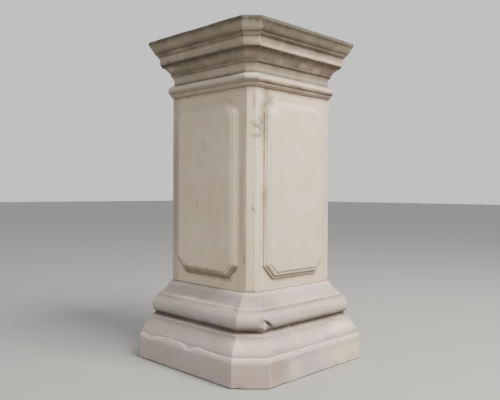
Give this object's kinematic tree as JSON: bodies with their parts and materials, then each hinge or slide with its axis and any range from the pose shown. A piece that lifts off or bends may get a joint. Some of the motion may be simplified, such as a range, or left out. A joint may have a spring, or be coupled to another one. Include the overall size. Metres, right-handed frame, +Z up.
{
  "type": "column base",
  "caption": "Square stone pedestal with cut corners: moulded base, upright die with raised clipped-corner panels, and moulded cap with a flat top.",
  "frame": {"origin": "middle of the plinth's underside, on the ground", "axes": "+Z up, -Y the front, +X to the right seen from the front; all four faces are alike"},
  "size_m": [0.673, 0.673, 1.2],
  "materials": {
    "base_stone": "worn pinkish-grey limestone with rounded arrises, dirt in the hollows and a chipped torus",
    "die_stone": "rubbed warm cream-grey limestone with faint stains and shallow pits",
    "cap_stone": "weathered limestone, darkened by grey-brown dirt and greenish growth in the mouldings"
  },
  "bodies": {
    "root": {"base": "base_stone", "die": "die_stone", "cap": "cap_stone"}
  },
  "joints": []
}
